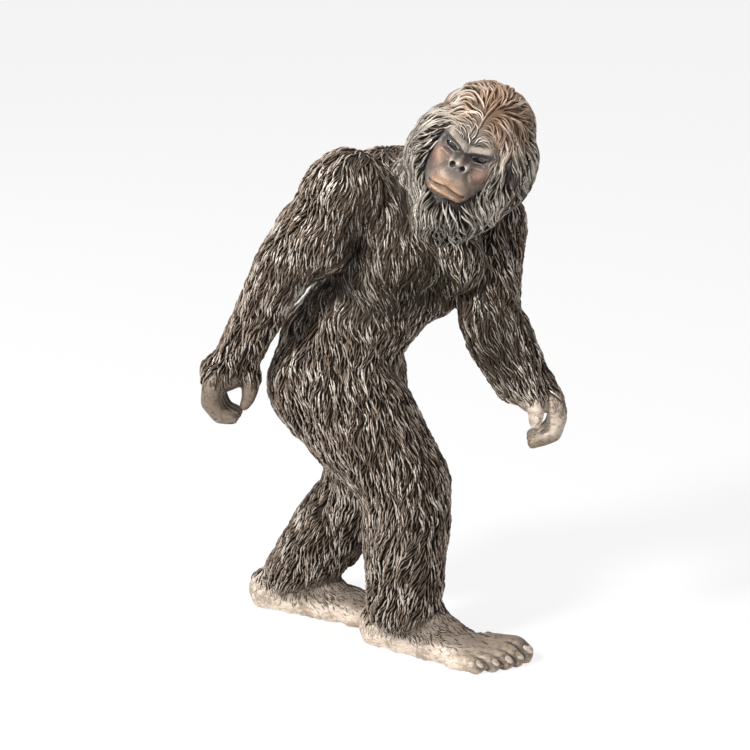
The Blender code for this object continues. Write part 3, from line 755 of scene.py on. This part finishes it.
def lock_tree():
    """Grows pointed locks on a skin. Each one follows the skin's lie, rises off the skin and tapers."""
    tree = bpy.data.node_groups.new("locks", "GeometryNodeTree")
    bench = Bench(tree)
    kinds = {"Skin": "Geometry", "Steps": "Int", "Seed": "Int", "Finish": "Material"}
    for name in ("Skin", *LOCK_SIZES, "Finish"):
        kind = "NodeSocket" + kinds.get(name, "Float")
        tree.interface.new_socket(name, in_out="INPUT", socket_type=kind)
    tree.interface.new_socket("Locks", in_out="OUTPUT", socket_type="NodeSocketGeometry")
    given = bench.put("NodeGroupInput")
    skin = given.beside("Skin")
    spacing, length, steps = given.beside("Spacing"), given.beside("Length"), given.beside("Steps")

    def named(name, kind="FLOAT"):
        return bench.put("GeometryNodeInputNamedAttribute", {"data_type": kind}, {"Name": name})

    def stored(geometry, name, value, kind="FLOAT"):
        sockets = {"Geometry": geometry, "Name": name, "Value": value}
        return bench.put("GeometryNodeStoreNamedAttribute", {"data_type": kind}, sockets)

    def on_skin(value, place):
        sockets = {"Mesh": skin, "Value": value, "Sample Position": place}
        return bench.put("GeometryNodeSampleNearestSurface", {"data_type": "FLOAT_VECTOR"}, sockets)

    def chance(low, high, seed):
        sockets = {"Min_001": low, "Max_001": high, "Seed": seed}
        return bench.put("FunctionNodeRandomValue", {"data_type": "FLOAT"}, sockets, "Value_001")

    # Roots, spread evenly over the furry skin
    place = bench.put("GeometryNodeInputPosition")
    out = bench.put("GeometryNodeInputNormal")
    sockets = {"Mesh": skin, "Distance Min": spacing, "Density Max": spacing**-2 * 2.5}
    sockets.update({"Density Factor": named("fur"), "Seed": given.beside("Seed")})
    roots = bench.put("GeometryNodeDistributePointsOnFaces", {"distribute_method": "POISSON"}, sockets)
    roots = stored(roots, "root", place, "FLOAT_VECTOR")
    roots = stored(roots, "size", chance(0.65, 1.25, 1) * named("long"))
    roots = stored(roots, "girth", chance(0.75, 1.2, 2) * named("wide"))
    roots = stored(roots, "shade", chance(0.0, 1.0, 3))

    # A line on each root, with all its points still in the root
    line = bench.put("GeometryNodeCurvePrimitiveLine")
    line = bench.put("GeometryNodeResampleCurve", {"mode": "COUNT"}, {"Curve": line, "Count": steps})
    line = stored(line, "step", bench.put("GeometryNodeInputIndex"))
    hairs = bench.put("GeometryNodeInstanceOnPoints", None, {"Points": roots, "Instance": line})
    hairs = bench.put("GeometryNodeRealizeInstances", None, {"Geometry": hairs})
    sockets = {"Geometry": hairs, "Position": named("root", "FLOAT_VECTOR")}
    hairs = bench.put("GeometryNodeSetPosition", None, sockets)

    # Each turn moves the points that are still ahead one stride along the skin
    start = tree.nodes.new("GeometryNodeRepeatInput")
    end = tree.nodes.new("GeometryNodeRepeatOutput")
    start.pair_with_output(end)
    tree.links.new((steps - 1).socket, start.inputs["Iterations"])
    tree.links.new(hairs.socket, start.inputs["Geometry"])
    turn_count = Wire(bench, start, start.outputs["Iteration"])
    growing = Wire(bench, start, start.outputs["Geometry"])
    lie = on_skin(named("lie", "FLOAT_VECTOR"), place)
    upright = on_skin(out, place)
    waves = noise(bench, place, given.beside("Patch"), 1.0)
    angle = (waves - 0.5) * given.beside("Turn") + (named("shade") - 0.5) * 0.5
    lie = bench.put("ShaderNodeVectorRotate", None, {"Vector": lie, "Axis": upright, "Angle": angle})
    stride = length * named("size") / (steps - 1)
    ahead = bench.vector("ADD", place, bench.scaled(lie, stride))
    landed = on_skin(place, ahead)
    sockets = {"A": named("step"), "B": turn_count + 0.5}
    later = bench.put("FunctionNodeCompare", {"data_type": "FLOAT", "operation": "GREATER_THAN"}, sockets)
    sockets = {"Geometry": growing, "Selection": later, "Position": landed}
    grown = bench.put("GeometryNodeSetPosition", None, sockets)
    tree.links.new(grown.socket, end.inputs["Geometry"])
    hairs = Wire(bench, end, end.outputs["Geometry"])

    # The locks rise off the skin in the middle and sway at their ends
    hairs = stored(hairs, "along", named("step") / (steps - 1))
    along = named("along")
    hairs = stored(hairs, "upright", on_skin(out, place), "FLOAT_VECTOR")
    upright = named("upright", "FLOAT_VECTOR")
    sideways = bench.vector("CROSS_PRODUCT", upright, on_skin(named("lie", "FLOAT_VECTOR"), place))
    rise = bench.put("ShaderNodeFloatCurve", {"points": ((0, 0.12), (0.5, 0.9), (1, 0.62))}, {"Value": along})
    rise = (rise - 0.3) * given.beside("Lift") * named("girth")
    swing = bench.maths("SINE", (along * 1.3 + named("shade") * 2.0) * math.pi) * along * given.beside("Sway")
    offset = bench.vector("ADD", bench.scaled(upright, rise), bench.scaled(sideways, swing))
    hairs = bench.put("GeometryNodeSetPosition", None, {"Geometry": hairs, "Offset": offset})
    hairs = bench.put("GeometryNodeSetCurveNormal", {"mode": "FREE"}, {"Curve": hairs, "Normal": upright})

    # Three-sided section, one crest up, thinning towards the end
    section = bench.put("GeometryNodeCurvePrimitiveCircle", None, {"Resolution": 3, "Radius": 1.0})
    section = bench.put("GeometryNodeTransform", None, {"Geometry": section, "Scale": (0.85, 1.15, 1)})
    high = bench.put("ShaderNodeSeparateXYZ", None, {"Vector": place}, "X")
    section = stored(section, "crest", bench.between(high, 0.0, 0.5))
    points = ((0, 0.8), (0.3, 1.0), (0.65, 0.8), (1, 0.04))
    taper = bench.put("ShaderNodeFloatCurve", {"points": points}, {"Value": along})
    sockets = {"Curve": hairs, "Profile Curve": section, "Fill Caps": True}
    sockets["Scale"] = taper * named("girth") * given.beside("Half Width")
    locks = bench.put("GeometryNodeCurveToMesh", None, sockets)
    locks = bench.put("GeometryNodeSetShadeSmooth", None, {"Geometry": locks, "Shade Smooth": True})
    locks = bench.put("GeometryNodeRealizeInstances", None, {"Geometry": locks})
    locks = bench.put("GeometryNodeSetMaterial", None, {"Geometry": locks, "Material": given.beside("Finish")})
    bench.put("NodeGroupOutput", None, {"Locks": locks})
    return tree


def grow(name, skin, tree, fur, long, wide, sizes, finish):
    """Locks where fur is above 0, as one plain mesh. Long and wide scale them from place to place."""
    obj = linked(name, skin.data.copy())
    keep(obj.data, "fur", "FLOAT", fur)
    keep(obj.data, "long", "FLOAT", long)
    keep(obj.data, "wide", "FLOAT", wide)
    growth = obj.modifiers.new("locks", "NODES")
    growth.node_group = tree
    for item in tree.interface.items_tree:
        if item.name in sizes:
            growth[item.identifier] = sizes[item.name]
        elif item.name == "Finish":
            growth[item.identifier] = finish
    settled(obj)
    for spent in ("root", "size", "girth", "step", "upright", "lie", "fur", "long", "wide", "bare"):
        if spent in obj.data.attributes:
            obj.data.attributes.remove(obj.data.attributes[spent])
    return obj


def make_face(finish):
    """The bare face, as a closed shell over the solid's face."""
    across, up = (np.arange(low, high + 1e-5, FACE_STEP) for low, high in (FACE_ACROSS, FACE_UP))
    s, u = np.meshgrid(across, up)
    edge = np.clip((rim(s, u) - 0.92) / 0.26, 0, 1)
    out = (face_depth(s * 1000, u * 1000) + fine_face(s * 1000, u * 1000)) / 1000 - FACE_ROLL * edge * edge
    out = np.maximum(out, -FACE_DEEPEST) + FACE_PROUD
    points = out_of_head(np.stack([s, -out, u], axis=-1).reshape(-1, 3))
    kept = (rim(s, u) < FACE_REACH).ravel()
    wide = len(across)
    shape = bmesh.new()
    verts = [shape.verts.new(point) if keeps else None for point, keeps in zip(points, kept)]
    for row in range(len(up) - 1):
        for col in range(wide - 1):
            a = row * wide + col
            ring = [verts[n] for n in (a, a + 1, a + wide + 1, a + wide)]
            if all(ring):
                shape.faces.new(ring)
    loose = [v for v in shape.verts if not v.link_faces]
    bmesh.ops.delete(shape, geom=loose, context="VERTS")
    face = made("face", shape)
    wall = face.modifiers.new("wall", "SOLIDIFY")
    wall.thickness = FACE_WALL
    wall.offset = -1
    settled(face)
    keep(face.data, "paint", "FLOAT_COLOR", face_paint(in_head(corners(face.data)) * 1000))
    return coated(face, finish)


def face_paint(points):
    """The middle tone of the paint at each point of the face, given in millimetres in the head's frame, with
    painted shade around the eyes.
    """
    s, u = points[:, 0], points[:, 2]
    t = np.abs(s)
    muzzle = np.exp(-((s / 27) ** 4) - ((u + 43) / 17) ** 4)
    coats = (
        # Cheeks, muzzle and brows
        (0.8 * hill(t, u, 28, -20, 10, 10), ROSE),
        (muzzle, MUZZLE),
        (0.6 * ridge(t, u, (6, 8), (27, 15), 4.5), FOREHEAD),
        # Nose: under it, its tip and its wings
        (0.5 * hill(s, u, 0, -27, 9, 5), SLATE),
        (hill(s, u, 0, -13, 5, 4.5), TAN),
        (0.9 * hill(t, u, 10.8, -15.5, 2.6, 4), TAN),
        # Lips
        (ridge(t, u, (0, -56), (17, -57), 4), LIP),
        (0.8 * ridge(t, u, (0, -41), (18, -46), 3), LIP),
        # Around the eyes: pale streaks under them, painted shade under the brows and beside the bridge of the
        # nose
        (0.2 * ridge(t, u, (13, -13), (27, -11), 2), MUZZLE),
        (0.75 * hill(t, u, 16, -3, 12, 6.5), SHADE_UMBER),
        (0.5 * ridge(t, u, (3, 0), (5, -8), 2), SHADE_UMBER),
        (0.2 * ridge(t, u, (13, -7.6), (26, -6.5), 1.4), MUZZLE),
        # Eye openings and nostrils
        (step_between(1.30 - almond(t, u), 0.0, 0.2), STAIN_AND_SHADE),
        (hill(t, u, 6.6, -18.6, 2.6, 2.3), STAIN_AND_SHADE),
    )
    colour = np.tile(SLATE, (len(s), 1))
    for share, tone in coats:
        lay(colour, share, tone)
    return colour


def make_eyes(finish):
    """Two flattened balls behind the lids."""
    shape = bmesh.new()
    for side in (-1, 1):
        level = float(face_depth(np.array([side * EYE_SIDE]), np.array([EYE_LEVEL]))[0]) / 1000
        middle = Vector((side * EYE_SIDE / 1000, EYE_RADII[1] + EYE_DEPTH - level, EYE_LEVEL / 1000))
        place = HEAD @ Matrix.Translation(middle) @ Matrix.Diagonal((*EYE_RADII, 1))
        bmesh.ops.create_uvsphere(shape, u_segments=32, v_segments=20, radius=1, matrix=place)
    return coated(made("eyes", shape), finish)


def make_nails(finish):
    """A flat nail on each toe and on the leading thumb."""
    shape = bmesh.new()
    for middle, up, ahead, half_wide, half_long in nail_places():
        side = ahead.cross(up).normalized()
        along = up.cross(side).normalized()
        turn = Matrix((side, along, up)).transposed().to_4x4()
        size = Matrix.Diagonal((half_wide, half_long, NAIL_THICKNESS, 1))
        place = Matrix.Translation(middle) @ turn @ size
        bmesh.ops.create_uvsphere(shape, u_segments=20, v_segments=12, radius=1, matrix=place)
    return coated(made("nails", shape), finish)


def make_fur(skin, region, hairy):
    """The body's fur by region, the short hair on its bare skin, and the head's hair and beard."""
    points = corners(skin.data)
    local = in_head(points)
    face, foot, hand = bare_places(points)
    furry = (1 - np.maximum(foot, hand)) * (1 - face)
    above_brow = step_between(-local[:, 1], -0.030, 0.0) * step_between(local[:, 2], -0.005, 0.010)
    above_brow *= step_between(-local[:, 2], -0.055, -0.030) * hairy
    beard_end = hairy * step_between(JOINT["eyes"][2] - 0.045 - points[:, 2], 0.0, 0.055)
    long = 1 - 0.55 * above_brow - 0.55 * beard_end
    wide = 1 - 0.35 * above_brow
    even = np.ones(len(points))
    tree = lock_tree()
    finish = fur_finish()
    region[region == "feet"] = "shins"
    pieces = []
    for name in ("trunk", "arms", "thighs", "shins"):
        fur = furry * (region == name) * ~hairy
        pieces.append(grow("fur_" + name, skin, tree, fur, long, wide, BODY_LOCKS, finish))
    pieces.append(grow("short_hair", skin, tree, downy(points), even, even, SHORT_HAIRS, finish))
    pieces.append(grow("mane", skin, tree, furry * hairy, long, wide, MANE_LOCKS, finish))
    return pieces


# Finishes


def fresh_finish(name):
    """A new material and the bench of its tree."""
    material = bpy.data.materials.new(name)
    material.use_nodes = True
    return material, Bench(material.node_tree)


def spot_on(bench):
    """Where each point lies on its object."""
    return bench.put("ShaderNodeTexCoord", None, None, "Object")


def painted(material, bench, **sockets):
    """The material with its paint's values given by the names of the shader's sockets."""
    named = {name.replace("_", " "): value for name, value in sockets.items()}
    shader = bench.put("ShaderNodeBsdfPrincipled", None, named)
    bench.put("ShaderNodeOutputMaterial", None, {"Surface": shader})
    return material


def attribute(bench, name, out="Fac"):
    settings = {"attribute_type": "GEOMETRY", "attribute_name": name}
    return bench.put("ShaderNodeAttribute", settings, None, out)


def noise(bench, vector, scale, detail=2.0):
    return bench.put("ShaderNodeTexNoise", None, {"Vector": vector, "Scale": scale, "Detail": detail})


def bumps(bench, height, strength, distance):
    sockets = {"Strength": strength, "Distance": distance, "Height": height}
    return bench.put("ShaderNodeBump", None, sockets)


def fur_finish():
    """Dark stain in the hollows, brown flanks, and dry-brushed pewter on the crests."""
    material, bench = fresh_finish("dry_brushed_fur")
    spot = spot_on(bench)
    paint = attribute(bench, "paint", "Color")
    spare = paint.beside("Alpha")
    crest, along, shade = (attribute(bench, name) for name in ("crest", "along", "shade"))
    patches = noise(bench, spot, 38)
    flecks = noise(bench, spot, 380)
    strand = bench.put("ShaderNodeCombineXYZ", None, {"X": crest * 4, "Y": along * 2.5, "Z": shade * 40})
    strands = noise(bench, strand, 1.6)
    hollow = bench.blend(spare, STAIN_AND_SHADE, paint)
    worn = crest + (strands - 0.5) * 0.5 + (shade - 0.6) * 0.3 - bench.between(along, 0.25, 0.0) * 0.25
    tone = bench.blend(bench.between(worn, 0.46, 0.98), hollow, paint)
    uneven = (flecks - 0.5) * 0.4 + (patches - 0.5) * 0.8 + (shade - 0.5) * 0.2
    # No dry-brushing where the paint is darkest, so that the painted shade stays dark
    pale = bench.put("ShaderNodeSeparateColor", None, {"Color": paint}, "Red")
    brushed = bench.between(worn + uneven, 0.82, 1.14) * bench.between(pale, -0.02, 0.12)
    tone = bench.blend(brushed, tone, bench.blend(0.85, paint, SILVER))
    return painted(
        material,
        bench,
        Base_Color=tone,
        Metallic=brushed * 0.3,
        Roughness=0.62 - brushed * 0.24,
        Normal=bumps(bench, strands, 0.5, 0.0006),
        Specular_IOR_Level=0.12,
    )


def skin_finish():
    """Worn tan paint on bare skin, brown stain in its creases and under the fur."""
    material, bench = fresh_finish("bare_skin")
    spot = spot_on(bench)
    paint = attribute(bench, "paint", "Color")
    spare = paint.beside("Alpha")
    bare = attribute(bench, "bare")
    dents = bench.put("ShaderNodeNewGeometry", None, None, "Pointiness")
    creases = noise(bench, bench.vector("MULTIPLY", spot, (1.0, 1.0, 1.8)), 150, 5.0)
    blotches = noise(bench, spot, 26, 3.0)
    hollow = 1 - bench.between(dents, 0.44, 0.51)
    folds = noise(bench, bench.vector("MULTIPLY", spot, (1.0, 1.0, 2.2)), 62, 4.0)
    cracks = bench.between(bench.maths("ABSOLUTE", folds - 0.5), 0.040, 0.0)
    stain = bench.between(creases + (blotches - 0.5) * 1.6, 0.46, 0.80)
    dark = bench.blend(1.0, paint, (0.34, 0.28, 0.23, 1), "MULTIPLY")
    under = bench.blend(spare, STAIN_AND_SHADE, paint)
    stained = bench.maths("MAXIMUM", hollow * 0.85, bench.maths("MAXIMUM", cracks * 0.6, stain * 0.7))
    tone = bench.blend(stained, paint, dark)
    shine = bench.between(blotches + (creases - 0.5) * 0.4, 0.48, 0.66) * (1 - stain)
    tone = bench.blend(shine * 0.55, tone, bench.blend(0.75, paint, SILVER))
    tone = bench.blend(bare, under, tone)
    return painted(
        material,
        bench,
        Base_Color=tone,
        Metallic=0.1,
        Roughness=0.45 + stain * 0.2,
        Normal=bumps(bench, creases * 0.6 + blotches - cracks * 0.5, 0.4, 0.0010),
        Specular_IOR_Level=0.3,
    )


def face_finish():
    """Slate stain with copper rubbed over the raised parts of the face."""
    material, bench = fresh_finish("rubbed_face")
    spot = spot_on(bench)
    paint = attribute(bench, "paint", "Color")
    dents = bench.put("ShaderNodeNewGeometry", None, None, "Pointiness")
    pores = noise(bench, spot, 420, 5.0)
    blotches = noise(bench, spot, 60, 3.0)
    raised = bench.between(dents + (blotches - 0.5) * 0.03, 0.510, 0.555)
    sunk = 1 - bench.between(dents, 0.42, 0.49)
    tone = bench.blend(sunk * 0.85, paint, (0.010, 0.008, 0.007, 1))
    tone = bench.blend(raised * 0.45, tone, bench.blend(0.6, paint, SILVER))
    worn = bench.blend(1.0, paint, (0.42, 0.37, 0.33, 1), "MULTIPLY")
    tone = bench.blend(bench.between(blotches + (pores - 0.5) * 0.5, 0.46, 0.66) * 0.6, tone, worn)
    return painted(
        material,
        bench,
        Base_Color=tone,
        Metallic=0.15,
        Roughness=0.42 + blotches * 0.2,
        Normal=bumps(bench, pores + blotches, 0.7, 0.0006),
    )


def eye_finish():
    """Dark glossy paint with a faint warm iris."""
    material, bench = fresh_finish("eye_gloss")
    spot = spot_on(bench)
    flecks = noise(bench, spot, 900, 2.0)
    tone = bench.blend(bench.between(flecks, 0.5, 0.75) * 0.15, EYE, ROSE)
    wear = noise(bench, spot, 300)
    return painted(material, bench, Base_Color=tone, Roughness=0.10 + wear * 0.10, Coat_Weight=0.8)


def nail_finish():
    """Tan nails, stained brown in patches."""
    material, bench = fresh_finish("nail_paint")
    spot = spot_on(bench)
    dirt = bench.between(noise(bench, spot, 140, 3.0), 0.45, 0.65)
    tone = bench.blend(dirt * 0.6 + 0.3, TAN, FINGER)
    height = noise(bench, bench.vector("MULTIPLY", spot, (3.0, 3.0, 1.0)), 200)
    return painted(
        material,
        bench,
        Base_Color=tone,
        Roughness=0.35 + dirt * 0.25,
        Metallic=0.1,
        Normal=bumps(bench, height, 0.2, 0.0003),
    )


# Studio


def aimed(name, data, place, toward):
    """A lamp or camera at a place, turned the way it looks."""
    obj = linked(name, data)
    obj.location = place
    obj.rotation_mode = "QUATERNION"
    obj.rotation_quaternion = toward.to_track_quat("-Z", "Y")
    return obj


def seen_directly(bench):
    """1 for the camera and for what gloss shows, 0 for the light that falls on things."""
    path = bench.put("ShaderNodeLightPath", None, None, "Is Camera Ray")
    seen = bench.maths("MAXIMUM", path, path.beside("Is Glossy Ray"))
    return bench.maths("MAXIMUM", seen, path.beside("Is Transmission Ray"))


def make_studio():
    """Camera, lamps, white surroundings and a pale floor."""
    scene = bpy.context.scene
    rise = math.radians(VIEW_RISE)
    back = Vector((0, -math.cos(rise), math.sin(rise)))
    view = bpy.data.cameras.new("camera")
    view.lens = VIEW_LENS
    scene.camera = aimed("camera", view, Vector(VIEW_TARGET) + back * VIEW_DISTANCE, -back)
    for name, (place, aim, size, watts) in LAMPS.items():
        light = bpy.data.lights.new(name, "AREA")
        light.shape = "DISK"
        light.size = size
        light.energy = watts
        aimed(name, light, place, Vector(aim) - Vector(place))
    scene.world = bpy.data.worlds.new("studio")
    scene.world.use_nodes = True
    bench = Bench(scene.world.node_tree)
    strength = SKY_LIGHT + seen_directly(bench) * (1 - SKY_LIGHT)
    sky = bench.put("ShaderNodeBackground", None, {"Color": WHITE, "Strength": strength})
    bench.put("ShaderNodeOutputWorld", None, {"Surface": sky})
    shape = bmesh.new()
    bmesh.ops.create_circle(shape, cap_ends=True, segments=96, radius=FLOOR_RADIUS)
    floor = made("floor", shape)
    floor.data.materials.append(floor_finish())
    scene.view_settings.view_transform = "Standard"


def floor_finish():
    """Matte floor that takes shadows, mostly white where the camera sees it."""
    material, bench = fresh_finish("pale_floor")
    matte = bench.put("ShaderNodeBsdfDiffuse", None, {"Color": (FLOOR_TONE, FLOOR_TONE, FLOOR_TONE, 1)})
    glow = bench.put("ShaderNodeEmission", None, {"Color": WHITE, "Strength": 1.0})
    mixed = bench.put("ShaderNodeMixShader", None, {0: seen_directly(bench) * FLOOR_GLOW, 1: matte, 2: glow})
    bench.put("ShaderNodeOutputMaterial", None, {"Surface": mixed})
    return material


def main():
    make_studio()
    skin, region, hairy = make_skin()
    skin.data.materials.append(skin_finish())
    pieces = [skin, make_face(face_finish()), make_eyes(eye_finish()), make_nails(nail_finish())]
    pieces += make_fur(skin, region, hairy)
    for piece in pieces:
        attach(piece, "root")
    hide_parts("bigfoot_statue")


main()
